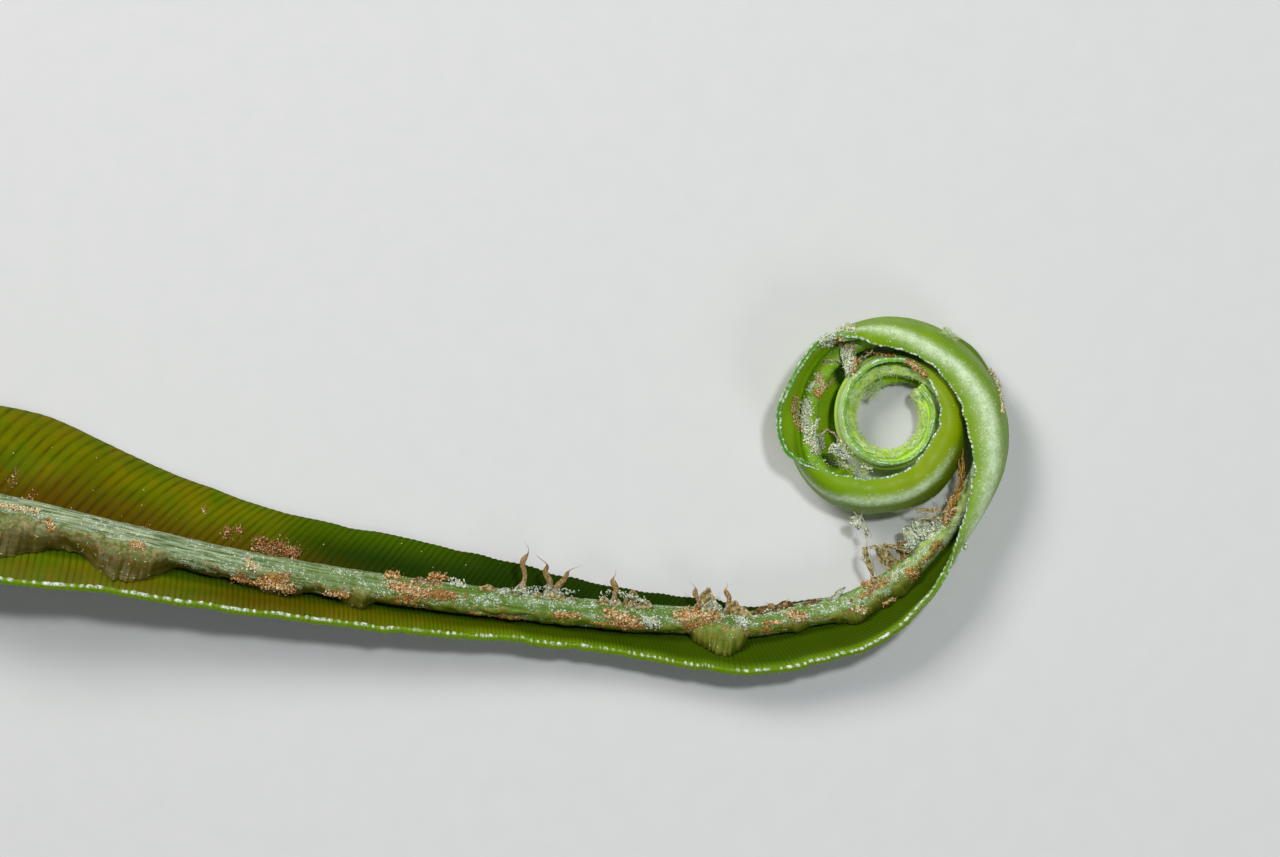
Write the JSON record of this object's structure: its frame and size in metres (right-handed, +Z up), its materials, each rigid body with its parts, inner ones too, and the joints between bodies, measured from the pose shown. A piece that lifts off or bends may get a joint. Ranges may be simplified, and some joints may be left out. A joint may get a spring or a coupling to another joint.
{
  "type": "fern fiddlehead",
  "caption": "Young strap-shaped fern frond, picked and lying on its side, its tip rolled up in a coil; ribbed blade wrapped round a scaly midrib.",
  "frame": {"origin": "middle of the frond's box, on the surface that the frond lies on", "axes": "+X from the cut foot to the coil, +Y from the stem to the coil's middle, +Z up off the surface, along the coil's axis"},
  "size_m": [0.1254, 0.0358, 0.0136],
  "materials": {
    "blade": "smooth, moist, satin green leaf skin",
    "midrib": "grey-green stalk skin covered in silvery and rust-brown scurf"
  },
  "bodies": {
    "root": {"blade": "blade", "midrib": "midrib"}
  },
  "joints": []
}
